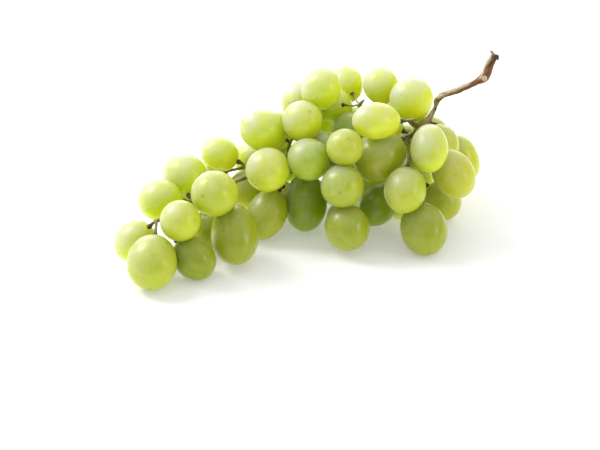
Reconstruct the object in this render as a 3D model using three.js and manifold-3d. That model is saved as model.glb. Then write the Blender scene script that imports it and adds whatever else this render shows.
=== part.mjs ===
// A bunch of white table grapes lying on its side on a flat surface, in millimetres, +Z up.
// The brown stalk rises at the right (+X) and the bunch tapers to its tip at the left and front.
// The stalk is one body: the cut stem, the rachis that runs through the bunch, its side branches and
// the pedicels. The berries of each side branch press together into one body, a spray. The origin is
// on the surface, under the middle of the bunch.
import * as THREE from "three";
import { mergeVertices } from "three/addons/utils/BufferGeometryUtils.js";
import Module from "manifold-3d";

// How the berries sit.
const PRESS = 0.9; // depth to which two berries of one spray flatten into each other
const AIR = 0.6; // least air between berries of different sprays
const FLAT = 0.35; // depth of the flat that the surface presses on a berry lying on it
const SETTLING_ROUNDS = 120;

// The stems.
const RACHIS_CLEAR = 2.8; // from the rachis's middle line to the nearest skin
const BRANCH_CLEAR = 1.9; // from a side branch's middle line to the nearest skin
const PEDICEL_CLEAR = 1.4; // from a pedicel's middle line to the skin of any other berry
const BRANCH_RADIUS = [1.15, 0.9]; // at the rachis and at the outer end
const PEDICEL_RADIUS = 0.75;
const RECEPTACLE_RADIUS = 1.35; // the flared end that carries the berry
const RECEPTACLE_LENGTH = 2;
const SKIN_GAP = 0.3; // between a receptacle and its berry

// How finely the round shapes are cut.
const BERRY_SIDES = 12;
const BERRY_SPANS = 7;
const FACET_GROWTH = 1.012; // corners stand proud by this, so that the flats average the true size
const RACHIS_SIDES = 8;
const TWIG_SIDES = 6;
const SPAN_STEPS = 3; // rings for each span between two points of a stem's route

const BERRY_LOOK = { color: 0xbccb5a, roughness: 0.3, metalness: 0 };
const STALK_LOOK = { color: 0x8c6a44, roughness: 0.8, metalness: 0 };

// The main stem from its torn end to the tip of the bunch: x, y, z and radius. It drops to a knuckle,
// runs down to a joint at the top of the bunch, and from there it is the rachis.
const MAIN_STEM = [
  [94.6, 41, 82.6, 1.7],
  [91.6, 41, 75.5, 2.2],
  [89.5, 41, 69, 2.7],
  [85.6, 40.6, 66.6, 1.7],
  [77, 39.5, 62.6, 1.5],
  [65.4, 38, 57.6, 1.7],
  [64.4, 37, 54, 1.5],
  [59, 29, 48, 1.9],
  [52, 23, 43, 1.9],
  [44, 20, 39, 1.9],
  [34, 21, 35.5, 1.9],
  [20, 22, 31, 1.9],
  [2, 17, 29.5, 1.8],
  [-18, 10, 30, 1.7],
  [-36, 1, 29.5, 1.5],
  [-50, -11, 27, 1.4],
  [-64, -27, 24.5, 1.2],
  [-75, -38, 25.5, 1],
];
const RACHIS_START = 6; // the first point of the main stem that lies inside the bunch

// The round scar where a shoot was cut from the knuckle.
const SHOOT_SCAR = { from: [89.5, 41, 69], to: [89.1, 37.6, 69.6], radius: 1.5 };

// A side branch whose berries were picked: its route and the ends of its three empty pedicels.
const PICKED_BRANCH = {
  route: [[22, 40, 43], [24.5, 36, 51], [25, 32.5, 57], [27, 31, 60.5]],
  fork: [25, 32.5, 57],
  ends: [[15.6, 27.4, 59], [20.9, 41, 60], [28.6, 30, 55]],
};

// The sprays from the tip of the bunch to its crown. Each has the routes of its side branches, which
// leave the rachis, and its berries: x, y and z of the middle, width and length. A berry leans on the
// nearest one listed before it.
const SPRAYS = {
  tip: {
    branches: [[[-72, -36, 25], [-75.5, -40, 27]]],
    berries: [
      [-77, -57, 13, 24, 27.5],
      [-53.5, -46.5, 10, 20, 23],
      [-63.5, -45, 30, 20, 19.5],
      [-86.5, -38, 14, 20, 22],
    ],
  },
  tail_top: {
    branches: [[[-57, -19, 26], [-59, -12, 23]]],
    berries: [
      [-75.5, -15.5, 25.5, 21, 22.5],
      [-63, 4.5, 31, 22.5, 23.5],
      [-69, 1, 9, 20, 21],
    ],
  },
  tail_back: {
    branches: [[[-30, 4, 29.7], [-33.5, 12, 31]]],
    berries: [
      [-46.5, 16.5, 35, 18, 20],
      [-55, 23, 15, 20, 22],
    ],
  },
  tail_front: {
    branches: [[[-39, -1.5, 29], [-39, -14, 30]]],
    berries: [
      [-48, -32.5, 37, 22.5, 25],
      [-37, -34, 13.5, 23.5, 31],
      [-56, -11, 9.5, 19, 21.5],
    ],
  },
  waist_front: {
    branches: [[[-12, 12, 29.8], [-10, 10, 38], [-9.5, 8, 44]]],
    berries: [
      [3, -5.5, 40.5, 21, 22],
      [-23.5, -6, 38, 22, 23],
    ],
  },
  waist_low: {
    branches: [
      [[-7, 13.5, 29.7], [-14, 8.5, 28]],
      [[-2.6, 15.4, 29.6], [-2, 10.6, 30.3]],
    ],
    berries: [
      [-22.5, -0.5, 14.5, 20.5, 27.5],
      [-2.5, 2, 13.5, 22, 30],
      [-15, 18, 9, 19, 21],
    ],
  },
  waist_top: {
    branches: [[[-10, 12.5, 29.6], [-12, 19, 38], [-10, 22, 43]]],
    berries: [
      [-4, 12, 56, 20.5, 21.5],
      [-26, 14.5, 50, 21, 26],
      [4.5, 24, 68, 20, 22],
      [-6.5, 35, 55, 18, 19.5],
      [7.5, 12, 43, 16, 17],
    ],
  },
  waist_back: {
    branches: [[[-18, 10, 30], [-20, 19, 27]]],
    berries: [
      [-29.5, 27, 27.5, 19, 20],
      [-30, 9, 18, 19.5, 20.5],
      [-11, 34, 24, 20, 22],
      [-17, 32, 43, 19.5, 21],
    ],
  },
  shoulder_front: {
    branches: [[[8, 18.5, 30], [11, 9, 28]]],
    berries: [
      [16, -10, 52, 18.5, 19],
      [8.5, -14.5, 31, 21.5, 22.5],
      [18.5, -21, 9, 22.5, 24],
      [18, 7, 9, 16, 18],
    ],
  },
  shoulder_top: {
    branches: [[[18, 22, 31], [20, 35, 38], [22, 40, 43]]],
    berries: [
      [20, 21, 46, 20, 21],
      [8.5, 37, 55.5, 19, 19.5],
      [18.5, 55, 60, 19, 20],
    ],
  },
  crown_top: {
    branches: [[[57, 27, 46.5], [53, 33, 45], [50, 39, 46]]],
    berries: [
      [37, 45, 62, 18.5, 20],
      [54, 31, 56, 22.5, 22.2],
      [53, 51, 46.5, 21, 23],
      [58, 40, 40, 18, 19.5],
      [38, 32.5, 36, 20, 21],
    ],
  },
  crown_front: {
    branches: [[[51, 22.5, 42.5], [52, 15, 49], [53, 8, 55.5], [50.5, 4.5, 60.5]]],
    berries: [
      [36, 3, 41, 26, 28.5],
      [31, -1, 63, 18.5, 25],
      [35, 23, 49, 16, 17],
    ],
  },
  right: {
    branches: [[[53, 24, 44], [61, 13, 50], [58.5, 9, 56]]],
    berries: [
      [57.5, -4.5, 48, 19, 26.5],
      [72, 5, 32.5, 21, 26],
    ],
  },
  right_back: {
    branches: [[[60, 30.5, 49], [66, 35, 42], [73, 33, 41]]],
    berries: [
      [78, 31, 27, 19, 27],
      [61, 19, 43.5, 19, 23],
    ],
  },
  right_front: {
    branches: [
      [[40, 20.5, 37.5], [48, 10, 30], [50, 6, 28]],
      [[51, 22.3, 42.3], [51, 11, 44], [50, 1.5, 43.5]],
    ],
    berries: [
      [47, -16.5, 31, 21, 24],
      [55, -20, 12.5, 23.5, 28],
    ],
  },
  right_low: {
    branches: [[[38, 20.5, 37], [46, 21, 27], [54, 19, 22]]],
    berries: [
      [28, 3, 11.5, 19, 24],
      [49, 17, 9, 20, 22],
      [67, 15.5, 9, 20, 21.5],
      [55, 37, 10.5, 21.5, 22.5],
    ],
  },
  back: {
    branches: [[[38, 21, 37], [38, 39, 34], [36, 45, 32]]],
    berries: [
      [40, 60, 38, 20, 21],
      [21, 57, 36, 20, 22],
      [52, 58, 24, 21.5, 23],
    ],
  },
  back_low: {
    branches: [[[22, 22, 31], [24, 35, 26], [26, 39, 24]]],
    berries: [
      [36, 49, 9, 21, 23],
      [16, 49, 9, 21, 23],
      [26, 28, 9, 20, 22],
    ],
  },
  back_waist: {
    branches: [[[0, 16.5, 29.6], [0, 27, 30], [-2, 33, 30]]],
    berries: [
      [3, 49, 39, 20, 22],
      [-2, 48, 20, 21.5, 23],
    ],
  },
};

const wasm = await Module();
wasm.setup();

const vector = ([x, y, z]) => new THREE.Vector3(x, y, z);

// The point of a polyline nearest to a place.
function nearestOn(route, place) {
  const found = new THREE.Vector3();
  let least = Infinity;
  for (let k = 1; k < route.length; k++) {
    const point = new THREE.Line3(route[k - 1], route[k]).closestPointToPoint(place, true, new THREE.Vector3());
    if (point.distanceTo(place) < least) {
      least = point.distanceTo(place);
      found.copy(point);
    }
  }
  return found;
}

// How far a berry's skin stands from its middle along a direction.
function skinAlong(berry, direction) {
  const c = berry.axis.dot(direction);
  return 1 / Math.sqrt((1 - c * c) / (berry.width / 2) ** 2 + (c * c) / (berry.length / 2) ** 2);
}

// How far a berry reaches towards a flat wall that faces it.
function reachTo(berry, direction) {
  const c = berry.axis.dot(direction);
  return Math.sqrt((berry.width / 2) ** 2 * (1 - c * c) + (berry.length / 2) ** 2 * c * c);
}

// Every berry, pointing away from the side branch that feeds it.
function hangBerries() {
  const berries = [];
  for (const [spray, { branches, berries: rows }] of Object.entries(SPRAYS)) {
    const mates = [];
    for (const [x, y, z, width, length] of rows) {
      const at = new THREE.Vector3(x, y, z);
      const roots = branches.map((route) => nearestOn(route.map(vector), at));
      roots.sort((a, b) => a.distanceTo(at) - b.distanceTo(at));
      const axis = at.clone().sub(roots[0]).normalize();
      const berry = { spray, at, width, length, root: roots[0], axis };
      const room = (mate) => {
        const apart = at.clone().sub(mate.at);
        return apart.length() - skinAlong(mate, apart.normalize());
      };
      berry.leansOn = [...mates].sort((a, b) => room(a) - room(b))[0];
      mates.push(berry);
      berries.push(berry);
    }
  }
  return berries;
}

// The end of a berry that faces its pedicel.
const poleOf = (berry) => berry.at.clone().addScaledVector(berry.axis, -berry.length / 2);

// Two berries press flat against each other in a spray, and keep apart otherwise.
function pushApart(a, b) {
  const line = b.at.clone().sub(a.at);
  const distance = line.length();
  line.normalize();
  const wanted = a.spray === b.spray
    ? skinAlong(a, line) + skinAlong(b, line) - PRESS
    : reachTo(a, line) + reachTo(b, line) + AIR;
  if (distance < wanted) {
    a.at.addScaledVector(line, (distance - wanted) / 4);
    b.at.addScaledVector(line, (wanted - distance) / 4);
  } else if (b.leansOn === a) {
    b.at.addScaledVector(line, (wanted - distance) / 2);
  }
}

// A berry moves off a stem that comes too near.
function clearStem(berry, route, clearance) {
  const point = nearestOn(route, berry.at);
  const line = berry.at.clone().sub(point);
  const distance = line.length();
  const wanted = reachTo(berry, line.normalize()) + clearance;
  if (distance < wanted) {
    berry.at.addScaledVector(line, (wanted - distance) / 2);
  }
}

// The berries settle against each other, round the stems and on the surface.
function settle(berries) {
  const rachis = MAIN_STEM.slice(RACHIS_START).map(vector);
  const branches = Object.values(SPRAYS).flatMap((spray) => spray.branches);
  const routes = [PICKED_BRANCH.route, ...branches].map((route) => route.map(vector));
  const up = new THREE.Vector3(0, 0, 1);
  for (let round = 0; round < SETTLING_ROUNDS; round++) {
    for (let i = 0; i < berries.length; i++) {
      for (let j = i + 1; j < berries.length; j++) {
        pushApart(berries[i], berries[j]);
      }
    }
    for (const berry of berries) {
      clearStem(berry, rachis, RACHIS_CLEAR);
      for (const route of routes) {
        clearStem(berry, route, BRANCH_CLEAR);
      }
      for (const other of berries) {
        if (other !== berry) {
          clearStem(berry, [other.root, poleOf(other)], PEDICEL_CLEAR);
        }
      }
      berry.at.z = Math.max(berry.at.z, reachTo(berry, up) - FLAT);
    }
  }
  return berries;
}

// A closed mesh as a solid that can be joined and cut.
function solidOf(geometry) {
  geometry.deleteAttribute("normal");
  geometry.deleteAttribute("uv");
  const merged = mergeVertices(geometry, 1e-4);
  return new wasm.Manifold(new wasm.Mesh({
    numProp: 3,
    vertProperties: new Float32Array(merged.attributes.position.array),
    triVerts: new Uint32Array(merged.index.array),
  }));
}

function berrySolid(berry) {
  const geometry = new THREE.SphereGeometry(FACET_GROWTH, BERRY_SIDES, BERRY_SPANS);
  geometry.scale(berry.width / 2, berry.length / 2, berry.width / 2);
  const turn = new THREE.Quaternion().setFromUnitVectors(new THREE.Vector3(0, 1, 0), berry.axis);
  geometry.applyQuaternion(turn);
  geometry.translate(berry.at.x, berry.at.y, berry.at.z);
  return solidOf(geometry);
}

// A round stem through stations: each has its middle, its heading and its radius.
function stemSolid(stations, sides) {
  const geometry = new THREE.CylinderGeometry(1, 1, 1, sides, stations.length - 1);
  const across = new THREE.Vector3(0, 0, 1);
  if (Math.abs(stations[0].heading.z) > 0.9) {
    across.set(1, 0, 0);
  }
  const rings = stations.map(({ at, heading, radius }) => {
    across.addScaledVector(heading, -across.dot(heading)).normalize();
    const u = across.clone();
    return { at, radius, u, v: heading.clone().cross(u) };
  });
  const position = geometry.attributes.position;
  for (let k = 0; k < position.count; k++) {
    const ring = rings[Math.round((0.5 - position.getY(k)) * (rings.length - 1))];
    const point = ring.at.clone();
    point.addScaledVector(ring.u, position.getX(k) * ring.radius);
    point.addScaledVector(ring.v, position.getZ(k) * ring.radius);
    position.setXYZ(k, point.x, point.y, point.z);
  }
  return solidOf(geometry);
}

// A stem that bends smoothly through a route, with a radius at each of the route's points.
function bentStem(route, radii, sides) {
  const curve = new THREE.CatmullRomCurve3(route.map(vector));
  const spans = route.length - 1;
  const stations = [];
  for (let k = 0; k <= spans * SPAN_STEPS; k++) {
    const span = Math.min(Math.floor(k / SPAN_STEPS), spans - 1);
    const part = k / SPAN_STEPS - span;
    const t = k / (spans * SPAN_STEPS);
    const radius = THREE.MathUtils.lerp(radii[span], radii[span + 1], part);
    stations.push({ at: curve.getPoint(t), heading: curve.getTangent(t), radius });
  }
  return stemSolid(stations, sides);
}

function branchSolid(route) {
  const radii = route.map((_, k) => THREE.MathUtils.lerp(...BRANCH_RADIUS, k / (route.length - 1)));
  return bentStem(route, radii, TWIG_SIDES);
}

// A pedicel from its branch to the receptacle, which flares along the axis of its berry.
function pedicelSolid(root, face, axis) {
  const flare = Math.min(RECEPTACLE_LENGTH, root.distanceTo(face) / 2);
  const neck = face.clone().addScaledVector(axis, -flare);
  const heading = neck.clone().sub(root).normalize();
  return stemSolid([
    { at: root, heading, radius: PEDICEL_RADIUS },
    { at: neck, heading: axis, radius: PEDICEL_RADIUS },
    { at: face, heading: axis, radius: RECEPTACLE_RADIUS },
  ], TWIG_SIDES);
}

// A solid without the hair-thin pockets that crossing stems close off.
function outerShell(solid) {
  const shells = solid.decompose();
  shells.sort((a, b) => b.volume() - a.volume());
  return shells[0];
}

function stalkSolid(berries) {
  let stalk = bentStem(MAIN_STEM, MAIN_STEM.map((row) => row[3]), RACHIS_SIDES);
  const scarRoute = [vector(SHOOT_SCAR.from), vector(SHOOT_SCAR.to)];
  const scarHeading = scarRoute[1].clone().sub(scarRoute[0]).normalize();
  const scarStations = scarRoute.map((at) => ({ at, heading: scarHeading, radius: SHOOT_SCAR.radius }));
  stalk = stalk.add(stemSolid(scarStations, RACHIS_SIDES));
  for (const { branches } of Object.values(SPRAYS)) {
    for (const route of branches) {
      stalk = stalk.add(branchSolid(route));
    }
  }
  for (const berry of berries) {
    const face = poleOf(berry).addScaledVector(berry.axis, -SKIN_GAP);
    stalk = stalk.add(pedicelSolid(berry.root, face, berry.axis));
  }
  stalk = stalk.add(branchSolid(PICKED_BRANCH.route));
  const fork = vector(PICKED_BRANCH.fork);
  for (const end of PICKED_BRANCH.ends.map(vector)) {
    stalk = stalk.add(pedicelSolid(fork, end, end.clone().sub(fork).normalize()));
  }
  return outerShell(stalk);
}

// The berries of one spray, joined where they press together and flat where they lie on the surface.
function spraySolid(berries, surface) {
  let spray = berrySolid(berries[0]);
  for (const berry of berries.slice(1)) {
    spray = spray.add(berrySolid(berry));
  }
  return spray.subtract(surface);
}

function meshOf(name, solid, look) {
  const { vertProperties, triVerts } = solid.getMesh();
  const geometry = new THREE.BufferGeometry();
  geometry.setAttribute("position", new THREE.BufferAttribute(vertProperties, 3));
  geometry.setIndex(new THREE.BufferAttribute(triVerts, 1));
  geometry.computeVertexNormals();
  const mesh = new THREE.Mesh(geometry, new THREE.MeshStandardMaterial(look));
  mesh.name = name;
  return mesh;
}

const berries = settle(hangBerries());
const surface = solidOf(new THREE.BoxGeometry(300, 300, 20).translate(0, 0, -10));

const bunch = new THREE.Group();
bunch.add(meshOf("stalk", stalkSolid(berries), STALK_LOOK));
for (const name of Object.keys(SPRAYS)) {
  const mates = berries.filter((berry) => berry.spray === name);
  bunch.add(meshOf(`berries_${name}`, spraySolid(mates, surface), BERRY_LOOK));
}

export default bunch;
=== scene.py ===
# A bunch of white table grapes lying on its side, as cut from the vine: a bent woody stem, the
# branching stalk inside, and the berries pressed together in sprays. The pieces are in metres, and
# the plan that they are made from is in millimetres.
import math
import random

import bpy
from mathutils import Matrix, Vector
from mathutils.kdtree import KDTree


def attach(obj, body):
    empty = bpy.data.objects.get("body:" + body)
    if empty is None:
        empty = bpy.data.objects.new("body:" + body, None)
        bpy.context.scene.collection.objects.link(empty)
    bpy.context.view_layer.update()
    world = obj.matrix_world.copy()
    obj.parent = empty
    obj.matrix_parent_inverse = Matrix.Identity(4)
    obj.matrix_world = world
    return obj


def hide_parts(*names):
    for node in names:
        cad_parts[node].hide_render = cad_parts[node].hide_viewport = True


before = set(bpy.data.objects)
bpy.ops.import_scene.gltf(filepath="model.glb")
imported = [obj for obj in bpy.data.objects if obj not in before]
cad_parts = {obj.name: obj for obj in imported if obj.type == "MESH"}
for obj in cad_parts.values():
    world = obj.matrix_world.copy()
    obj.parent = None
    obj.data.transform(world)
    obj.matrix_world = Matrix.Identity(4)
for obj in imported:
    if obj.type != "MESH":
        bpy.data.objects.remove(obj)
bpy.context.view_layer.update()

# --- The camera -------------------------------------------------------------------------------
# A long lens on a stand in front of the table, looking down at the bunch from a little above.
MM = 0.001
AIM = Vector((-6, -19, 13.5)) * MM
CAMERA_DISTANCE = 800 * MM
CAMERA_HEIGHT_ANGLE = math.radians(27)
FOCAL_LENGTH = 96  # of the lens, in mm
SENSOR_WIDTH = 36  # in mm

camera_place = AIM + CAMERA_DISTANCE * Vector(
    (0, -math.cos(CAMERA_HEIGHT_ANGLE), math.sin(CAMERA_HEIGHT_ANGLE)))
bpy.ops.object.camera_add(
    location=camera_place, rotation=(math.pi / 2 - CAMERA_HEIGHT_ANGLE, 0, 0))
camera = bpy.context.object
camera.data.lens = FOCAL_LENGTH
camera.data.sensor_width = SENSOR_WIDTH
bpy.context.scene.camera = camera

# --- The plan of the bunch --------------------------------------------------------------------
# Where the stems run and where every berry hangs before it settles, in millimetres, as in the
# CAD. The berries of one side branch, a spray, press together; different sprays stay apart.
PRESS = 0.9  # depth to which two berries of one spray flatten into each other
AIR = 0.6  # least air between berries of different sprays
FLAT = 0.35  # depth of the flat that the table presses on a berry lying on it
RACHIS_CLEAR = 2.8  # from the rachis's middle line to the nearest skin
BRANCH_CLEAR = 1.9  # from a side branch's middle line to the nearest skin
PEDICEL_CLEAR = 1.4  # from a pedicel's middle line to another berry's skin
NEAR = 45  # further apart than this, nothing touches
SETTLING_ROUNDS = 120
SETTLING_SHARE = 0.5  # how much of a missing distance one round makes up

# The main stem from below its torn end to the tip of the bunch: x, y, z and radius. It takes the
# solid's course, and is slimmer than the solid where it shows between berries.
MAIN_STEM = [
    (91.6, 41, 75.5, 2.4), (89.5, 41, 69, 2.7), (85.6, 40.6, 66.6, 1.7), (77, 39.5, 62.6, 1.7),
    (65.4, 38, 57.6, 1.7), (64.4, 37, 54, 1), (59, 29, 48, 1.7), (52, 23, 43, 1.9),
    (44, 20, 39, 1.9), (34, 21, 35.5, 1.9), (20, 22, 31, 1.9), (2, 17, 29.5, 1.8),
    (-18, 10, 30, 1.5), (-36, 1, 29.5, 1.2), (-50, -11, 27, 1.1), (-64, -27, 24.5, 1),
    (-75, -38, 25.5, 0.9),
]
RACHIS_START = 5  # the first point of the main stem that lies inside the bunch

# A side branch whose berries were picked, and the ends of the empty pedicels at its fork.
PICKED_ROUTE = [(22, 40, 43), (24.5, 36, 51), (25, 32.5, 57), (27, 31, 60.5)]
PICKED_FORK = PICKED_ROUTE[2]
PICKED_ENDS = [(15.6, 27.4, 59), (20.9, 41, 60), (28.6, 30, 55)]

# Each spray has the routes of its side branches, and its berries: x, y and z of the middle, width
# and length, how ripe it is, from 0, green, to 1, yellow, and how pale, from 0, deep, to 1, milky.
# The deep end is painted shade: the berries that lie in shade, low and in front, are given it.
SPRAYS = {
    "tip": ([[(-72, -36, 25), (-75.5, -40, 27)]], [
        (-77, -57, 13, 24, 27.5, 0.55, 0.45),
        (-53.5, -46.5, 10, 20, 23, 0.35, 0.1),
        (-63.5, -45, 30, 20, 19.5, 0.6, 0.55),
        (-86.5, -38, 14, 20, 22, 0.6, 0.7)]),
    "tail_top": ([[(-57, -19, 26), (-59, -12, 23)]], [
        (-75.5, -15.5, 25.5, 21, 22.5, 0.5, 0.8),
        (-63, 4.5, 31, 22.5, 23.5, 0.5, 0.8),
        (-69, 1, 9, 20, 21, 0.4, 0.8)]),
    "tail_back": ([[(-30, 4, 29.7), (-33.5, 12, 31)]], [
        (-46.5, 16.5, 35, 18, 20, 0.6, 0.95),
        (-55, 23, 15, 20, 22, 0.5, 0.8)]),
    "tail_front": ([[(-39, -1.5, 29), (-39, -14, 30)]], [
        (-48, -32.5, 37, 22.5, 25, 0.55, 0.5),
        (-37, -34, 13.5, 23.5, 31, 0.5, 0.15),
        (-56, -11, 9.5, 19, 21.5, 0.5, 0.2)]),
    "waist_front": ([[(-12, 12, 29.8), (-10, 10, 38), (-9.5, 8, 44)]], [
        (3, -5.5, 40.5, 21, 22, 0.2, 0.5),
        (-23.5, -6, 38, 22, 23, 0.65, 0.75)]),
    "waist_low": ([[(-7, 13.5, 29.7), (-14, 8.5, 28)],
                   [(-2.6, 15.4, 29.6), (-2, 10.6, 30.3)]], [
        (-22.5, -0.5, 14.5, 20.5, 27.5, 0.6, 0.3),
        (-2.5, 2, 13.5, 22, 30, 0.15, 0.2),
        (-15, 18, 9, 19, 21, 0.5, 0.8)]),
    "waist_top": ([[(-10, 12.5, 29.6), (-12, 19, 38), (-10, 22, 43)]], [
        (-4, 12, 56, 20.5, 21.5, 0.6, 0.85),
        (-26, 14.5, 50, 21, 26, 0.55, 0.9),
        (4.5, 24, 68, 20, 22, 0.55, 0.85),
        (-6.5, 35, 55, 18, 19.5, 0.6, 0.95),
        (7.5, 12, 43, 16, 17, 0.3, 0.8)]),
    "waist_back": ([[(-18, 10, 30), (-20, 19, 27)]], [
        (-29.5, 27, 27.5, 19, 20, 0.7, 0.9),
        (-30, 9, 18, 19.5, 20.5, 0.85, 0.5),
        (-11, 34, 24, 20, 22, 0.5, 0.8),
        (-17, 32, 43, 19.5, 21, 0.5, 0.8)]),
    "shoulder_front": ([[(8, 18.5, 30), (11, 9, 28)]], [
        (16, -10, 52, 18.5, 19, 0.6, 0.45),
        (8.5, -14.5, 31, 21.5, 22.5, 0.4, 0.4),
        (18.5, -21, 9, 22.5, 24, 0.45, 0.2),
        (18, 7, 9, 16, 18, 0.3, 0.8)]),
    "shoulder_top": ([[(18, 22, 31), (20, 35, 38), (22, 40, 43)]], [
        (20, 21, 46, 20, 21, 0.15, 0.35),
        (8.5, 37, 55.5, 19, 19.5, 0.5, 0.7),
        (18.5, 55, 60, 19, 20, 0.6, 1)]),
    "crown_top": ([[(57, 27, 46.5), (53, 33, 45), (50, 39, 46)]], [
        (37, 45, 62, 18.5, 20, 0.6, 1),
        (54, 31, 56, 22.5, 22.2, 0.6, 0.95),
        (53, 51, 46.5, 21, 23, 0.5, 0.8),
        (58, 40, 40, 18, 19.5, 0.6, 0.5),
        (38, 32.5, 36, 20, 21, 0.5, 0.4)]),
    "crown_front": ([[(51, 22.5, 42.5), (52, 15, 49), (53, 8, 55.5), (50.5, 4.5, 60.5)]], [
        (36, 3, 41, 26, 28.5, 0.6, 0.35),
        (31, -1, 63, 18.5, 25, 0.7, 0.8),
        (35, 23, 49, 16, 17, 0.5, 0.8)]),
    "right": ([[(53, 24, 44), (61, 13, 50), (58.5, 9, 56)]], [
        (57.5, -4.5, 48, 19, 26.5, 0.55, 0.7),
        (72, 5, 32.5, 21, 26, 0.8, 0.45)]),
    "right_back": ([[(60, 30.5, 49), (66, 35, 42), (73, 33, 41)]], [
        (78, 31, 27, 19, 27, 0.8, 0.5),
        (61, 19, 43.5, 19, 23, 0.75, 0.5)]),
    "right_front": ([[(40, 20.5, 37.5), (48, 10, 30), (50, 6, 28)],
                     [(51, 22.3, 42.3), (51, 11, 44), (50, 1.5, 43.5)]], [
        (47, -16.5, 31, 21, 24, 0.55, 0.5),
        (55, -20, 12.5, 23.5, 28, 0.5, 0.15)]),
    "right_low": ([[(38, 20.5, 37), (46, 21, 27), (54, 19, 22)]], [
        (28, 3, 11.5, 19, 24, 0.15, 0.15),
        (49, 17, 9, 20, 22, 0.4, 0.8),
        (67, 15.5, 9, 20, 21.5, 0.7, 0.3),
        (55, 37, 10.5, 21.5, 22.5, 0.5, 0.8)]),
    "back": ([[(38, 21, 37), (38, 39, 34), (36, 45, 32)]], [
        (40, 60, 38, 20, 21, 0.6, 0.8),
        (21, 57, 36, 20, 22, 0.45, 0.8),
        (52, 58, 24, 21.5, 23, 0.7, 0.8)]),
    "back_low": ([[(22, 22, 31), (24, 35, 26), (26, 39, 24)]], [
        (36, 49, 9, 21, 23, 0.4, 0.8),
        (16, 49, 9, 21, 23, 0.3, 0.8),
        (26, 28, 9, 20, 22, 0.3, 0.8)]),
    "back_waist": ([[(0, 16.5, 29.6), (0, 27, 30), (-2, 33, 30)]], [
        (3, 49, 39, 20, 22, 0.55, 0.8),
        (-2, 48, 20, 21.5, 23, 0.4, 0.8)]),
}


def nearest_on(route, place):
    """The point of a polyline nearest to a place."""
    found = None
    for start, end in zip(route, route[1:]):
        span = end - start
        share = min(max((place - start).dot(span) / span.length_squared, 0), 1)
        point = start + span * share
        if found is None or (point - place).length < (found - place).length:
            found = point
    return found


class Berry:
    """A berry on its side branch: it points away from the branch that feeds it."""

    def __init__(self, spray, routes, row, mates):
        self.spray = spray
        self.at = Vector(row[:3])
        width, length, self.ripeness, self.paleness_and_shade = row[3:]
        self.half_width, self.half_length = width / 2, length / 2
        roots = [nearest_on(route, self.at) for route in routes]
        self.root = min(roots, key=lambda root: (root - self.at).length)
        self.axis = (self.at - self.root).normalized()
        self.leans_on = min(mates, key=self.room_to, default=None)

    def room_to(self, mate):
        """How far the middle is from a mate's skin."""
        apart = self.at - mate.at
        return apart.length - mate.skin_along(apart.normalized())

    def skin_along(self, direction):
        """How far the skin stands from the middle along a direction."""
        lengthwise = self.axis.dot(direction) ** 2
        return 1 / math.sqrt((1 - lengthwise) / self.half_width ** 2
                             + lengthwise / self.half_length ** 2)

    def reach_to(self, direction):
        """How far the berry reaches towards a flat wall that faces it."""
        lengthwise = self.axis.dot(direction) ** 2
        return math.sqrt(self.half_width ** 2 * (1 - lengthwise)
                         + self.half_length ** 2 * lengthwise)

    def pole(self):
        """The end that faces the pedicel."""
        return self.at - self.axis * self.half_length

    def clear_stem(self, route, clearance):
        """Move off a stem that comes too near."""
        line = self.at - nearest_on(route, self.at)
        distance = line.length
        line.normalize()
        missing = self.reach_to(line) + clearance - distance
        if missing > 0:
            self.at += line * missing * SETTLING_SHARE


def push_apart(a, b):
    """Two berries press flat against each other in a spray, and keep apart otherwise."""
    line = b.at - a.at
    distance = line.length
    line.normalize()
    if a.spray == b.spray:
        wanted = a.skin_along(line) + b.skin_along(line) - PRESS
    else:
        wanted = a.reach_to(line) + b.reach_to(line) + AIR
    move = line * (wanted - distance) * SETTLING_SHARE
    if distance < wanted:
        a.at -= move / 2
        b.at += move / 2
    elif b.leans_on is a:
        b.at += move


def hang_berries():
    """Every berry of the plan, where the plan has it."""
    berries = []
    for spray, (branches, rows) in SPRAYS.items():
        routes = [[Vector(point) for point in branch] for branch in branches]
        mates = []
        for row in rows:
            mates.append(Berry(spray, routes, row, mates))
        berries += mates
    return berries


def settle(berries):
    """The berries settle against each other, round the stems and on the table."""
    rachis = [Vector(row[:3]) for row in MAIN_STEM[RACHIS_START:]]
    routes = [[Vector(point) for point in PICKED_ROUTE]]
    for branches, _ in SPRAYS.values():
        routes += [[Vector(point) for point in branch] for branch in branches]
    up = Vector((0, 0, 1))
    for _ in range(SETTLING_ROUNDS):
        for i, a in enumerate(berries):
            for b in berries[i + 1:]:
                if (a.at - b.at).length < NEAR or b.leans_on is a:
                    push_apart(a, b)
        for berry in berries:
            berry.clear_stem(rachis, RACHIS_CLEAR)
            for route in routes:
                if (route[0] - berry.at).length < NEAR:
                    berry.clear_stem(route, BRANCH_CLEAR)
            for other in berries:
                if other is not berry and (other.at - berry.at).length < NEAR:
                    berry.clear_stem([other.root, other.pole()], PEDICEL_CLEAR)
            berry.at.z = max(berry.at.z, berry.reach_to(up) - FLAT)


berries = hang_berries()
settle(berries)

# --- The berries ------------------------------------------------------------------------------
# A berry is a thin tough skin, stretched over clear jelly-like flesh and dusted with wax. It is an
# egg a little fuller than an ellipsoid, drawn in where the pedicel joins it.
BERRY_SIDES = 36
BERRY_RINGS = 24

# The model of a berry is two units long and wide. Each of its shapes has a size, and a distance
# over which the skin round it follows.
ENDS = 0.999  # only the two end points are further than this from the middle
DIMPLE_DEPTH, DIMPLE_REACH = 0.07, 0.34
SHOULDERS = (0.2, 0.75)  # the fuller part, from below to above
FULLNESS, FULLNESS_REACH = 1.012, 0.4
STYLE_DEPTH, STYLE_REACH = 0.02, 0.16

LUMP_HEIGHT = 0.35 * MM
LUMP_SIZE = 11 * MM
CONTACT_GAP = 0.04  # in mm, between two skins that press together
random.seed(7)


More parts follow.
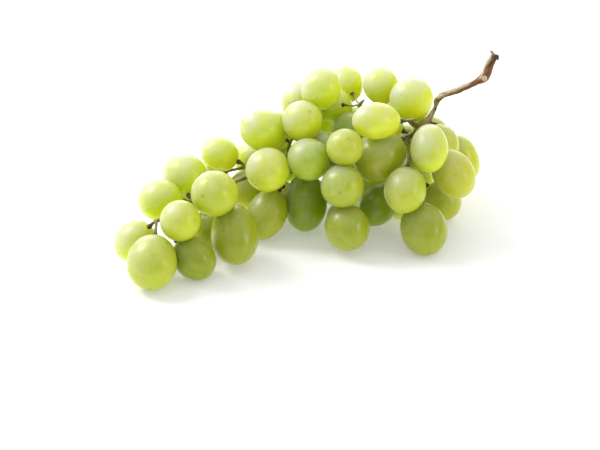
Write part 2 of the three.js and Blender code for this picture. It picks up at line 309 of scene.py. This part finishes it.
def deselect():
    if bpy.context.mode != "OBJECT":
        bpy.ops.object.mode_set(mode="OBJECT")
    bpy.ops.object.select_all(action="DESELECT")


def select_where(piece, test):
    """In edit mode, select the vertices that pass a test of their place."""
    bpy.ops.mesh.select_all(action="DESELECT")
    bpy.ops.object.mode_set(mode="OBJECT")
    for vertex in piece.data.vertices:
        vertex.select = test(vertex.co)
    bpy.ops.object.mode_set(mode="EDIT")


def join(pieces, name):
    """Make one piece of several."""
    deselect()
    for piece in pieces:
        piece.select_set(True)
    bpy.context.view_layer.objects.active = pieces[0]
    bpy.ops.object.join()
    joined = bpy.context.object
    joined.name = name
    return joined


def model_berry():
    """The one berry that is copied: two units long and wide, its stalk end down."""
    deselect()
    bpy.ops.mesh.primitive_uv_sphere_add(segments=BERRY_SIDES, ring_count=BERRY_RINGS, radius=1)
    berry = bpy.context.object
    bpy.ops.object.mode_set(mode="EDIT")
    bpy.ops.mesh.select_mode(type="VERT")
    select_where(berry, lambda place: place.z < -ENDS)
    bpy.ops.transform.translate(
        value=(0, 0, DIMPLE_DEPTH), use_proportional_edit=True,
        proportional_edit_falloff="SMOOTH", proportional_size=DIMPLE_REACH)
    select_where(berry, lambda place: SHOULDERS[0] < place.z < SHOULDERS[1])
    bpy.ops.transform.resize(
        value=(FULLNESS, FULLNESS, 1), use_proportional_edit=True,
        proportional_edit_falloff="SMOOTH", proportional_size=FULLNESS_REACH)
    select_where(berry, lambda place: place.z > ENDS)
    bpy.ops.transform.translate(
        value=(0, 0, -STYLE_DEPTH), use_proportional_edit=True,
        proportional_edit_falloff="SHARP", proportional_size=STYLE_REACH)
    bpy.ops.object.mode_set(mode="OBJECT")
    bpy.ops.object.shade_smooth()
    place = berry.data.attributes.new("place", "FLOAT_VECTOR", "POINT")
    for vertex, value in zip(berry.data.vertices, place.data):
        value.vector = vertex.co
    return berry


def lump(piece, texture, height):
    """Give a surface the slight lumps of a grown thing."""
    modifier = piece.modifiers.new("lumps", "DISPLACE")
    modifier.texture = texture
    modifier.texture_coords = "LOCAL"
    modifier.mid_level = 0.5
    modifier.strength = height
    bpy.context.view_layer.objects.active = piece
    bpy.ops.object.modifier_apply(modifier=modifier.name)


def press(piece, berry, mates):
    """Flatten a berry where it presses on its mates and on the table."""
    for mate in mates:
        line = mate.at - berry.at
        distance = line.length
        line.normalize()
        overlap = berry.skin_along(line) + mate.skin_along(line) - distance
        if overlap < 0:
            continue
        flat = berry.skin_along(line) - overlap / 2 - CONTACT_GAP
        for vertex in piece.data.vertices:
            beyond = (vertex.co / MM - berry.at).dot(line) - flat
            if beyond > 0:
                vertex.co -= line * beyond * MM
    for vertex in piece.data.vertices:
        vertex.co.z = max(vertex.co.z, 0)


def set_all(mesh, name, value):
    """Give every vertex the same value of an attribute."""
    attribute = mesh.attributes.new(name, "FLOAT", "POINT")
    for item in attribute.data:
        item.value = value


def place_berry(model, berry, mates, texture):
    """Copy the model to a berry's place, and press it against its mates."""
    piece = model.copy()
    piece.data = model.data.copy()
    bpy.context.collection.objects.link(piece)
    size = Matrix.Diagonal((berry.half_width, berry.half_width, berry.half_length, 1)) * MM
    size[3][3] = 1
    roll = Matrix.Rotation(random.uniform(0, 2 * math.pi), 4, "Z")
    turn = berry.axis.to_track_quat("Z", "Y").to_matrix().to_4x4()
    piece.data.transform(Matrix.Translation(berry.at * MM) @ turn @ roll @ size)
    # The paleness value also paints shade: the berries that lie in shade are given a low one.
    set_all(piece.data, "ripeness", berry.ripeness)
    set_all(piece.data, "paleness_and_shade", berry.paleness_and_shade)
    set_all(piece.data, "own", random.random())
    lump(piece, texture, LUMP_HEIGHT)
    press(piece, berry, mates)
    return piece


def linear(colour):
    """A colour written as sRGB hex, turned to linear."""
    parts = [int(colour[k:k + 2], 16) / 255 for k in (1, 3, 5)]
    return [p / 12.92 if p <= 0.04045 else ((p + 0.055) / 1.055) ** 2.4 for p in parts] + [1]


def node(tree, kind, inputs=None, **settings):
    """Add a shader node; its inputs are values or other nodes' outputs."""
    made = tree.nodes.new("ShaderNode" + kind)
    for name, value in settings.items():
        setattr(made, name, value)
    for name, value in (inputs or {}).items():
        if isinstance(value, bpy.types.NodeSocket):
            tree.links.new(value, made.inputs[name])
        else:
            made.inputs[name].default_value = value
    return made


# A Mix node's colours in and out, which share their names with its other sockets.
FIRST, SECOND, MIXED = 6, 7, 2

# Patterns on the skin, in counts per metre.
RIPE_PATCHES = 85  # 12 mm apart
WAX_PATCHES = 150  # 7 mm apart
SPECK_CELLS = 260  # 4 mm apart
SKIN_GRAIN = 900  # 1 mm apart, coarser than the real grain so that it shows
VEIN_COUNTS = (4, 0.9, 40)  # round the berry, along it, and from berry to berry
SKIN_KEY_SIDE = (-0.55, -0.05, 0.83)  # faces up and left, towards the key light: painted highlight here, painted glow opposite


# Grape skin, as it grows: smooth and glossy under a dull film of wax. Red and green light goes far
# into the flesh and blue hardly at all, so that it glows yellow-green. Fine paler veins run from
# end to end, small brown corky specks dot it, and a scar stays where the flower's style was.
# Painted shade, a painted highlight and a painted glow are mixed into its colour as well.
def grape_skin():
    material = bpy.data.materials.new("waxed_grape_skin")
    material.use_nodes = True
    tree = material.node_tree
    shader = tree.nodes["Principled BSDF"]
    shader.inputs["IOR"].default_value = 1.42
    shader.inputs["Subsurface Weight"].default_value = 1
    shader.inputs["Subsurface Radius"].default_value = (0.95, 1, 0.08)
    shader.inputs["Subsurface Scale"].default_value = 36 * MM
    shader.inputs["Subsurface Anisotropy"].default_value = 0.88
    shader.inputs["Specular IOR Level"].default_value = 0.6
    shader.inputs["Coat Weight"].default_value = 0.2
    shader.inputs["Coat Roughness"].default_value = 0.3
    shader.inputs["Coat IOR"].default_value = 1.5
    object_place = node(tree, "TexCoord").outputs["Object"]
    place = node(tree, "Attribute", attribute_name="place").outputs["Vector"]
    ripeness = node(tree, "Attribute", attribute_name="ripeness").outputs["Fac"]
    paleness_and_shade = node(tree, "Attribute", attribute_name="paleness_and_shade").outputs["Fac"]
    own = node(tree, "Attribute", attribute_name="own").outputs["Fac"]

    # Riper berries are yellower, in patches. The deep colour is painted shade, dark and green, for
    # the berries that lie in shade, and the milky one is that of a berry with pale skin.
    patches = node(tree, "TexNoise", {"Vector": object_place, "Scale": RIPE_PATCHES,
                                      "Detail": 2})
    ripe = node(tree, "Math", {0: patches.outputs["Fac"], 1: 0.5, 2: ripeness},
                operation="MULTIPLY_ADD")
    ripe = node(tree, "Math", {0: ripe.outputs[0], 1: 0.25}, operation="SUBTRACT", use_clamp=True)
    deep = node(tree, "Mix", {"Factor": ripe.outputs[0], FIRST: linear("#7A9012"),
                              SECOND: linear("#A4A216")}, data_type="RGBA")
    milky = node(tree, "Mix", {"Factor": ripe.outputs[0], FIRST: linear("#BCD458"),
                               SECOND: linear("#E0DE62")}, data_type="RGBA")
    flesh = node(tree, "Mix", {"Factor": paleness_and_shade, FIRST: deep.outputs[MIXED],
                               SECOND: milky.outputs[MIXED]}, data_type="RGBA")

    # Veins run from end to end, 2 to 3 mm apart.
    spot = node(tree, "SeparateXYZ", {"Vector": place})
    angle = node(tree, "Math", {0: spot.outputs["Y"], 1: spot.outputs["X"]}, operation="ARCTAN2")
    vein_place = node(tree, "CombineXYZ", {"X": angle.outputs[0], "Y": spot.outputs["Z"],
                                           "Z": own})
    vein_place = node(tree, "VectorMath", {0: vein_place.outputs[0], 1: VEIN_COUNTS},
                      operation="MULTIPLY")
    veins = node(tree, "TexNoise", {"Vector": vein_place.outputs[0], "Scale": 1, "Detail": 3})
    vein_line = node(tree, "MapRange", {"Value": veins.outputs["Fac"], "From Min": 0.5,
                                        "From Max": 0.7, "To Max": 0.16})
    veined = node(tree, "Mix", {"Factor": vein_line.outputs[0], FIRST: flesh.outputs[MIXED],
                                SECOND: linear("#D2D660")}, data_type="RGBA")

    # Painted glow: the palest berries are painted a clear bright lime on the side away from the
    # key light, standing in for light that shines through them.
    facing = node(tree, "VectorMath", {0: node(tree, "NewGeometry").outputs["Normal"],
                                       1: SKIN_KEY_SIDE}, operation="DOT_PRODUCT")
    away_from_key = node(tree, "MapRange", {"Value": facing.outputs["Value"], "From Min": 0.4,
                                    "From Max": -0.6})
    palest = node(tree, "MapRange", {"Value": paleness_and_shade, "From Min": 0.4})
    painted_glow = node(tree, "Math", {0: away_from_key.outputs[0], 1: palest.outputs[0]}, operation="MULTIPLY")
    with_painted_glow = node(tree, "Mix", {"Factor": painted_glow.outputs[0], FIRST: veined.outputs[MIXED],
                                 SECOND: linear("#DCF41E")}, data_type="RGBA")

    # The wax is a milky film in soft patches, thickest on the palest berries. It is also painted
    # thickest on the side towards the key light and thinned to nothing away from it, in a bluish
    # white:
    # that part is a painted highlight.
    film = node(tree, "TexNoise", {"Vector": object_place, "Scale": WAX_PATCHES, "Detail": 5,
                                   "Roughness": 0.65})
    wax_and_highlight = node(tree, "MapRange", {"Value": film.outputs["Fac"], "From Min": 0.36,
                                  "From Max": 0.64, "To Min": 0.35, "To Max": 1})
    thick = node(tree, "Math", {0: paleness_and_shade, 1: 0.85, 2: 0.14}, operation="MULTIPLY_ADD")
    key_lit_side = node(tree, "MapRange", {"Value": facing.outputs["Value"], "From Min": 0,
                                    "From Max": 1, "To Min": 0.02, "To Max": 1})
    wax_and_highlight = node(tree, "Math", {0: wax_and_highlight.outputs[0], 1: thick.outputs[0]}, operation="MULTIPLY")
    wax_and_highlight = node(tree, "Math", {0: wax_and_highlight.outputs[0], 1: key_lit_side.outputs[0]}, operation="MULTIPLY")
    waxed_and_highlit = node(tree, "Mix", {"Factor": wax_and_highlight.outputs[0], FIRST: with_painted_glow.outputs[MIXED],
                               SECOND: linear("#CACEDC")}, data_type="RGBA")

    # Corky specks about half a millimetre across, in about one cell of four.
    cells = node(tree, "TexVoronoi", {"Vector": object_place, "Scale": SPECK_CELLS})
    cell_pick = node(tree, "SeparateColor", {"Color": cells.outputs["Color"]})
    picked = node(tree, "Math", {0: cell_pick.outputs[0], 1: 0.72}, operation="GREATER_THAN")
    speck = node(tree, "MapRange", {"Value": cells.outputs["Distance"], "From Min": 0.05,
                                    "From Max": 0.11, "To Min": 0.6, "To Max": 0})
    speck = node(tree, "Math", {0: speck.outputs[0], 1: picked.outputs[0]}, operation="MULTIPLY")
    specked = node(tree, "Mix", {"Factor": speck.outputs[0], FIRST: waxed_and_highlit.outputs[MIXED],
                                 SECOND: linear("#8E8236")}, data_type="RGBA")

    # The style's scar at the far end, and paler skin round the pedicel.
    far_end = node(tree, "VectorMath", {0: place, 1: (0, 0, 1)}, operation="DISTANCE")
    scar = node(tree, "MapRange", {"Value": far_end.outputs["Value"], "From Min": 0.04,
                                   "From Max": 0.11, "To Min": 0.35, "To Max": 0})
    scarred = node(tree, "Mix", {"Factor": scar.outputs[0], FIRST: specked.outputs[MIXED],
                                 SECOND: linear("#74682A")}, data_type="RGBA")
    near_end = node(tree, "VectorMath", {0: place, 1: (0, 0, -1)}, operation="DISTANCE")
    collar = node(tree, "MapRange", {"Value": near_end.outputs["Value"], "From Min": 0.12,
                                     "From Max": 0.42, "To Min": 0.6, "To Max": 0})
    colour = node(tree, "Mix", {"Factor": collar.outputs[0], FIRST: scarred.outputs[MIXED],
                                SECOND: linear("#D9DE8C")}, data_type="RGBA")
    tree.links.new(colour.outputs[MIXED], shader.inputs["Base Color"])

    # Wax dulls the gloss, and so does cork.
    dull = node(tree, "MapRange", {"Value": wax_and_highlight.outputs[0], "From Min": 0, "From Max": 0.6,
                                   "To Min": 0.24, "To Max": 0.4})
    dull = node(tree, "Math", {0: speck.outputs[0], 1: 0.3, 2: dull.outputs[0]},
                operation="MULTIPLY_ADD")
    tree.links.new(dull.outputs[0], shader.inputs["Roughness"])
    grain = node(tree, "TexNoise", {"Vector": object_place, "Scale": SKIN_GRAIN, "Detail": 3})
    relief = node(tree, "Math", {0: speck.outputs[0], 1: 0.8, 2: grain.outputs["Fac"]},
                  operation="MULTIPLY_ADD")
    bump = node(tree, "Bump", {"Height": relief.outputs[0], "Strength": 0.12,
                               "Distance": 0.15 * MM})
    tree.links.new(bump.outputs[0], shader.inputs["Normal"])
    return material


skin_lumps = bpy.data.textures.new("skin_lumps", "CLOUDS")
skin_lumps.noise_scale = LUMP_SIZE
skin = grape_skin()
model = model_berry()
for spray in SPRAYS:
    mates = [berry for berry in berries if berry.spray == spray]
    copies = [place_berry(model, berry, [mate for mate in mates if mate is not berry], skin_lumps)
              for berry in mates]
    piece = join(copies, "spray_" + spray)
    piece.data.materials.clear()
    piece.data.materials.append(skin)
    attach(piece, "root")
    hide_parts("berries_" + spray)
bpy.data.objects.remove(model)

# --- The stalk inside the bunch ---------------------------------------------------------------
# The rachis, its side branches and the pedicels are green wood that has begun to dry: one skin,
# thickened where each joins, and each pedicel swells into a warty receptacle that holds its berry.
BRANCH_RADIUS = (1, 0.8)  # in mm, as all radii here: at the rachis and at the outer end
PEDICEL_RADII = (0.9375, 0.75, 0.8625, 1.45, 1.2325)  # foot, middle, neck, lip and seat
RECEPTACLE_LENGTH = 2.2
LIP_PLACE = 0.25  # share of that length between a receptacle's lip and its berry
SEAT_DEPTH = 0.25  # how far a receptacle reaches into its berry
PICKED_RADII = (1.1, 0.85, 1.1, 0.6)
BARE_PEDICEL_RADII = (0.7, 0.5, 0.65, 1.3, 0.9)  # foot, middle, neck, knob and its end
BARE_PEDICEL_SAG = 0.5
KNOB_LENGTH, KNOB_CROWN = 1.6, 0.5  # from its end to its neck, and to where it is widest
STEM_VOXEL = 0.32 * MM
WART_SIZE, WART_HEIGHT = 1.1 * MM, 0.3 * MM


def stem(name, route, radii, roundness=3):
    """A round stem through a route in millimetres, as a mesh."""
    deselect()
    bpy.ops.curve.primitive_nurbs_path_add()
    piece = bpy.context.object
    piece.name = name
    curve = piece.data
    curve.splines.clear()
    spline = curve.splines.new("BEZIER")
    spline.bezier_points.add(len(route) - 1)
    for point, place, radius in zip(spline.bezier_points, route, radii):
        point.co = Vector(place) * MM
        point.radius = radius
        point.handle_left_type = point.handle_right_type = "AUTO"
    curve.dimensions = "3D"
    curve.resolution_u = 6
    curve.bevel_depth = MM
    curve.bevel_resolution = roundness
    curve.use_fill_caps = True
    bpy.ops.object.convert(target="MESH")
    return bpy.context.object


def pedicel(root, pole, axis):
    """A pedicel from its branch to the receptacle, which widens along the berry's axis."""
    flare = min(RECEPTACLE_LENGTH, (pole - root).length / 2)
    neck = pole - axis * flare
    middle = root.lerp(neck, 0.55)
    lip = pole - axis * flare * LIP_PLACE
    seat = pole + axis * SEAT_DEPTH
    return stem("pedicel", [root, middle, neck, lip, seat], PEDICEL_RADII)


def bare_pedicel(fork, end):
    """A pedicel whose berry was pulled off: it ends in a hard knob."""
    fork, end = Vector(fork), Vector(end)
    axis = (end - fork).normalized()
    middle = fork.lerp(end, 0.5) - Vector((0, 0, BARE_PEDICEL_SAG))
    neck = end - axis * KNOB_LENGTH
    crown = end - axis * KNOB_CROWN
    return stem("bare_pedicel", [fork, middle, neck, crown, end], BARE_PEDICEL_RADII)


def grow_together(piece):
    """Join crossing stems into one skin, and soften their joints."""
    remesh = piece.modifiers.new("grow", "REMESH")
    remesh.mode = "VOXEL"
    remesh.voxel_size = STEM_VOXEL
    smooth = piece.modifiers.new("soften", "SMOOTH")
    smooth.factor = 0.5
    smooth.iterations = 3
    bpy.context.view_layer.objects.active = piece
    bpy.ops.object.modifier_apply(modifier=remesh.name)
    bpy.ops.object.modifier_apply(modifier=smooth.name)


def roughen(piece, size, height):
    """Lumps of a given size and height all over a stem."""
    texture = bpy.data.textures.new("bark_lumps", "CLOUDS")
    texture.noise_scale = size
    lump(piece, texture, height)


rachis_rows = MAIN_STEM[RACHIS_START - 1:]
stems = [stem("rachis", [row[:3] for row in rachis_rows], [row[3] for row in rachis_rows])]
for branches, _ in SPRAYS.values():
    for branch in branches:
        count = len(branch) - 1
        radii = [BRANCH_RADIUS[0] + (BRANCH_RADIUS[1] - BRANCH_RADIUS[0]) * k / count
                 for k in range(count + 1)]
        stems.append(stem("branch", branch, radii))
for berry in berries:
    stems.append(pedicel(berry.root, berry.pole(), berry.axis))
stems.append(stem("picked_branch", PICKED_ROUTE, PICKED_RADII))
for end in PICKED_ENDS:
    stems.append(bare_pedicel(PICKED_FORK, end))
rachis = join(stems, "rachis_and_branches")
grow_together(rachis)
roughen(rachis, WART_SIZE, WART_HEIGHT)
bpy.ops.object.shade_smooth()

# Each point of the stalk keeps its distance, in mm, from the nearest receptacle or knob.
knobs = KDTree(len(berries) + len(PICKED_ENDS))
for k, place in enumerate([berry.pole() for berry in berries] + PICKED_ENDS):
    knobs.insert(Vector(place) * MM, k)
knobs.balance()
from_knob = rachis.data.attributes.new("from_knob", "FLOAT", "POINT")
for vertex, value in zip(rachis.data.vertices, from_knob.data):
    value.value = knobs.find(vertex.co)[2] / MM

DRY_PATCHES = 180  # counts per metre: 6 mm apart
FINE_WARTS = 1400  # 0.7 mm apart


# Green wood that dries as it lies: dull, yellow-green with brown patches, painted pale on the
# sides that face up as a painted highlight, and dark with cork and warts over the last few
# millimetres before each berry.
def green_wood():
    material = bpy.data.materials.new("drying_green_stalk")
    material.use_nodes = True
    tree = material.node_tree
    shader = tree.nodes["Principled BSDF"]
    shader.inputs["Roughness"].default_value = 0.55
    object_place = node(tree, "TexCoord").outputs["Object"]
    from_knob = node(tree, "Attribute", attribute_name="from_knob").outputs["Fac"]
    patches = node(tree, "TexNoise", {"Vector": object_place, "Scale": DRY_PATCHES, "Detail": 4})
    dry = node(tree, "MapRange", {"Value": patches.outputs["Fac"], "From Min": 0.4,
                                  "From Max": 0.62})
    wood = node(tree, "Mix", {"Factor": dry.outputs[0], FIRST: linear("#A09840"),
                              SECOND: linear("#6C5426")}, data_type="RGBA")
    # Painted highlight: the sides that face up, towards the light, are painted pale.
    facing = node(tree, "SeparateXYZ", {"Vector": node(tree, "NewGeometry").outputs["Normal"]})
    top_highlight = node(tree, "MapRange", {"Value": facing.outputs["Z"], "From Min": 0.2,
                                     "From Max": 0.9, "To Max": 0.45})
    painted_highlight = node(tree, "Mix", {"Factor": top_highlight.outputs[0], FIRST: wood.outputs[MIXED],
                                  SECOND: linear("#D8CC9C")}, data_type="RGBA")
    cork = node(tree, "MapRange", {"Value": from_knob, "From Min": 1.2, "From Max": 4.5,
                                   "To Min": 0.95, "To Max": 0})
    colour = node(tree, "Mix", {"Factor": cork.outputs[0], FIRST: painted_highlight.outputs[MIXED],
                                SECOND: linear("#46301A")}, data_type="RGBA")
    tree.links.new(colour.outputs[MIXED], shader.inputs["Base Color"])
    warts = node(tree, "TexNoise", {"Vector": object_place, "Scale": FINE_WARTS, "Detail": 3})
    bump = node(tree, "Bump", {"Height": warts.outputs["Fac"], "Strength": 0.5,
                               "Distance": 0.2 * MM})
    tree.links.new(bump.outputs[0], shader.inputs["Normal"])
    return material


rachis.data.materials.clear()
rachis.data.materials.append(green_wood())
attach(rachis, "root")
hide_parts("stalk")

# --- The cut stem -----------------------------------------------------------------------------
# The woody end by which the bunch hung on the cane: thin brown bark, painted paler on the side
# towards the key light as highlight and darker below, a swollen knuckle with the pale scar of a
# shoot cut away, and a torn dark end.
TORN_END = [(94.1, 41, 81.3, 1.9), (93.8, 41, 80.6, 1.9)]
TORN_LIPS = [[(93.4, 41, 80.4), (92.8, 41, 82), (91.8, 41, 83.6)],
             [(94.8, 41, 80.4), (95.6, 41, 79.6), (96, 41, 78.3)]]
LIP_RADII = (1.5, 1, 0.4)
KNUCKLE = Vector(MAIN_STEM[1][:3])
SCAR_PLACE = Vector((89.1, 37.6, 69.6))
SCAR_RADIUS = 1.7
BOSS_RADII = (2.2, SCAR_RADIUS * 1.15, SCAR_RADIUS * 1.05)  # from the knuckle to the scar
STEM_ROUNDNESS = 6
BARK_LUMPS = [(2.4 * MM, 0.45 * MM), (0.9 * MM, 0.225 * MM)]  # size and height

cut_rows = TORN_END + MAIN_STEM[:RACHIS_START + 2]
cut_route = [Vector(row[:3]) for row in cut_rows]
scar_axis = (SCAR_PLACE - KNUCKLE).normalized()
boss = stem("shoot_boss", [KNUCKLE, KNUCKLE.lerp(SCAR_PLACE, 0.6), SCAR_PLACE], BOSS_RADII,
            STEM_ROUNDNESS)
lips = [stem("torn_lip", lip, LIP_RADII, STEM_ROUNDNESS) for lip in TORN_LIPS]
main = stem("main", cut_route, [row[3] for row in cut_rows], STEM_ROUNDNESS)
cut_stem = join([main, boss] + lips, "cut_stem")
grow_together(cut_stem)
for size, height in BARK_LUMPS:
    roughen(cut_stem, size, height)
bpy.ops.object.shade_smooth()

# Each point of the bark keeps its distance along the stem, in mm, and its side of the stem.
along = cut_stem.data.attributes.new("along", "FLOAT", "POINT")
side = cut_stem.data.attributes.new("side", "FLOAT_VECTOR", "POINT")
starts = [sum((b - a).length for a, b in zip(cut_route[:k], cut_route[1:k + 1]))
          for k in range(len(cut_route))]
for k, vertex in enumerate(cut_stem.data.vertices):
    place = vertex.co / MM
    nearest = None
    for start, a, b in zip(starts, cut_route, cut_route[1:]):
        point = nearest_on([a, b], place)
        if nearest is None or (point - place).length < nearest:
            nearest = (point - place).length
            along.data[k].value = start + (point - a).length
            side.data[k].vector = (place - point).normalized()

# The bark's colours along the stem: grey-brown at the torn end, brown to red-brown past the
# knuckle, olive, dark at the joint, and pale tan turning green inside the bunch.
BARK_LENGTH = 60  # in mm, from the torn end to the last colour
BARK_COLOURS = [
    (0, "#4E3C2E"), (0.06, "#6A4A28"), (0.15, "#8A6030"), (0.28, "#94502E"), (0.42, "#84522C"),
    (0.52, "#8A6A26"), (0.7, "#7C6420"), (0.76, "#4C3A12"), (0.84, "#B8985A"), (1, "#A89A44"),
]
STREAKS_AROUND = 2.2  # each about 1 mm wide
STREAKS_ALONG = 0.22  # counts per mm: each about 5 mm long
BARK_KEY_SIDE = (-0.6, 0, 0.8)  # towards the key light: the pale streaks on this side are painted highlight


# One-year grapevine wood: dry thin bark that splits into fibres along the stem, so it is rough,
# with hardly any shine, and streaked dark. The pale streaks are painted highlight, laid only on
# the side towards the key light.
def stem_bark():
    material = bpy.data.materials.new("grapevine_bark")
    material.use_nodes = True
    tree = material.node_tree
    shader = tree.nodes["Principled BSDF"]
    shader.inputs["Roughness"].default_value = 0.65
    shader.inputs["Specular IOR Level"].default_value = 0.25
    along = node(tree, "Attribute", attribute_name="along").outputs["Fac"]
    side = node(tree, "Attribute", attribute_name="side").outputs["Vector"]
    share = node(tree, "Math", {0: along, 1: BARK_LENGTH}, operation="DIVIDE")
    tint = node(tree, "ValToRGB", {"Fac": share.outputs[0]})
    ramp = tint.color_ramp.elements
    while len(ramp) < len(BARK_COLOURS):
        ramp.new(0.5)
    for element, (position, colour) in zip(ramp, BARK_COLOURS):
        element.position = position
        element.color = linear(colour)

    # Paler and darker streaks run along the stem.
    around = node(tree, "VectorMath", {0: side, 1: (STREAKS_AROUND,) * 3}, operation="MULTIPLY")
    run = node(tree, "Math", {0: along, 1: STREAKS_ALONG}, operation="MULTIPLY")
    streaks = node(tree, "TexNoise", {"Vector": around.outputs[0], "W": run.outputs[0],
                                      "Scale": 1, "Detail": 5, "Roughness": 0.6},
                   noise_dimensions="4D")
    dark_streak = node(tree, "MapRange", {"Value": streaks.outputs["Fac"], "From Min": 0.36,
                                          "From Max": 0.5, "To Min": 0.6, "To Max": 0})
    darker = node(tree, "Mix", {"Factor": dark_streak.outputs[0], FIRST: tint.outputs["Color"],
                                SECOND: linear("#4A2C16")}, data_type="RGBA")
    # Painted highlight: the pale streaks show only on the side towards the key light.
    toward_key = node(tree, "VectorMath", {0: side, 1: BARK_KEY_SIDE}, operation="DOT_PRODUCT")
    key_lit_side = node(tree, "MapRange", {"Value": toward_key.outputs["Value"], "From Min": 0.1,
                                    "From Max": 0.75, "To Max": 0.95})
    pale_streak = node(tree, "MapRange", {"Value": streaks.outputs["Fac"], "From Min": 0.4,
                                          "From Max": 0.55})
    painted_highlight = node(tree, "Math", {0: key_lit_side.outputs[0], 1: pale_streak.outputs[0]},
                    operation="MULTIPLY")
    colour = node(tree, "Mix", {"Factor": painted_highlight.outputs[0], FIRST: darker.outputs[MIXED],
                                SECOND: linear("#E2D4B8")}, data_type="RGBA")
    tree.links.new(colour.outputs[MIXED], shader.inputs["Base Color"])
    bump = node(tree, "Bump", {"Height": streaks.outputs["Fac"], "Strength": 0.7,
                               "Distance": 0.5 * MM})
    tree.links.new(bump.outputs[0], shader.inputs["Normal"])
    return material


cut_stem.data.materials.clear()
cut_stem.data.materials.append(stem_bark())
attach(cut_stem, "root")
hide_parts("stalk")

# --- The scar of the shoot --------------------------------------------------------------------
# A flat disc of dry pale wood on the front of the knuckle, ringed by its cut bark, with the dark
# dot of the pith in the middle.
SCAR_SIDES = 28
SCAR_THICKNESS = 0.8
WORN_EDGE = 0.25 * MM
BARK_RING = (1.3 * MM, 1.55 * MM)  # from the middle: where the ring starts, and is full
PITH = (0.2 * MM, 0.45 * MM)  # where the pith starts to fade, and is gone
WOOD_FIBRES = 2500  # counts per metre: 0.4 mm apart, coarser than real fibres so that they show

deselect()
bpy.ops.mesh.primitive_cylinder_add(
    vertices=SCAR_SIDES, radius=SCAR_RADIUS * MM, depth=SCAR_THICKNESS * MM,
    location=SCAR_PLACE * MM, rotation=scar_axis.to_track_quat("Z", "Y").to_euler())
scar = bpy.context.object
scar.name = "shoot_scar"
bpy.ops.object.transform_apply(location=True, rotation=True, scale=True)
bevel = scar.modifiers.new("worn_rim", "BEVEL")
bevel.width = WORN_EDGE
bevel.segments = 2
bpy.ops.object.modifier_apply(modifier=bevel.name)
bpy.ops.object.shade_smooth()


# Vine wood cut across and dried: matt and pale, with fine fibres.
def cut_wood():
    material = bpy.data.materials.new("dry_cut_vine_wood")
    material.use_nodes = True
    tree = material.node_tree
    shader = tree.nodes["Principled BSDF"]
    shader.inputs["Roughness"].default_value = 0.8
    object_place = node(tree, "TexCoord").outputs["Object"]
    middle = (SCAR_PLACE + scar_axis * SCAR_THICKNESS / 2) * MM
    out = node(tree, "VectorMath", {0: object_place, 1: middle}, operation="DISTANCE")
    fibres = node(tree, "TexNoise", {"Vector": object_place, "Scale": WOOD_FIBRES, "Detail": 3})
    wood = node(tree, "Mix", {"Factor": fibres.outputs["Fac"], FIRST: linear("#D9C29A"),
                              SECOND: linear("#F0E2C4")}, data_type="RGBA")
    rim = node(tree, "MapRange", {"Value": out.outputs["Value"], "From Min": BARK_RING[0],
                                  "From Max": BARK_RING[1], "To Max": 0.9})
    rimmed = node(tree, "Mix", {"Factor": rim.outputs[0], FIRST: wood.outputs[MIXED],
                                SECOND: linear("#6E4E2C")}, data_type="RGBA")
    pith = node(tree, "MapRange", {"Value": out.outputs["Value"], "From Min": PITH[0],
                                   "From Max": PITH[1], "To Min": 0.8, "To Max": 0})
    colour = node(tree, "Mix", {"Factor": pith.outputs[0], FIRST: rimmed.outputs[MIXED],
                                SECOND: linear("#7A5630")}, data_type="RGBA")
    tree.links.new(colour.outputs[MIXED], shader.inputs["Base Color"])
    return material


scar.data.materials.append(cut_wood())
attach(scar, "root")
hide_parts("stalk")

# --- The table and the light ------------------------------------------------------------------
# A plain white table of acrylic, faintly lit from below, under soft studio light: a key from the
# upper left and behind, a wide light low behind, a narrow strip at the right, and a white room.
TABLE_WIDTH = 6
TABLE_GLOW = 0.25

deselect()
bpy.ops.mesh.primitive_plane_add(size=TABLE_WIDTH)
table = bpy.context.object
table.name = "table"
acrylic = bpy.data.materials.new("matt_white_acrylic")
acrylic.use_nodes = True
table_shader = acrylic.node_tree.nodes["Principled BSDF"]
table_shader.inputs["Base Color"].default_value = linear("#F4F4F4")
table_shader.inputs["Roughness"].default_value = 0.8
table_shader.inputs["Emission Color"].default_value = linear("#FFFFFF")
table_shader.inputs["Emission Strength"].default_value = TABLE_GLOW
table.data.materials.append(acrylic)


def softbox(name, place, size, power):
    """A rectangular light turned towards the bunch: place and size in metres, power in watts."""
    bpy.ops.object.light_add(type="AREA", location=place)
    light = bpy.context.object
    light.name = name
    light.data.shape = "RECTANGLE"
    light.data.size, light.data.size_y = size
    light.data.energy = power
    light.rotation_euler = (AIM - Vector(place)).to_track_quat("-Z", "Y").to_euler()


softbox("key_softbox", (-0.85, 0.35, 0.95), (0.5, 0.65), 9.5)
softbox("back_softbox", (-0.1, 1.3, 0.5), (1.6, 0.6), 6)
softbox("right_strip", (1.0, -0.5, 0.4), (0.2, 0.5), 1.6)

# The room is bright above and behind, and dimmer low in front.
world = bpy.data.worlds.new("white_room")
world.use_nodes = True
sky = world.node_tree
direction = node(sky, "TexCoord").outputs["Generated"]
bright = node(sky, "VectorMath", {0: direction, 1: (0, 0.5, 0.9)}, operation="DOT_PRODUCT")
strength = node(sky, "MapRange", {"Value": bright.outputs["Value"], "From Min": -0.2,
                                  "From Max": 0.8, "To Min": 0.28, "To Max": 0.88})
background = sky.nodes["Background"]
background.inputs["Color"].default_value = linear("#FFFFFF")
sky.links.new(strength.outputs[0], background.inputs["Strength"])
bpy.context.scene.world = world
bpy.context.scene.view_settings.view_transform = "Standard"

deselect()
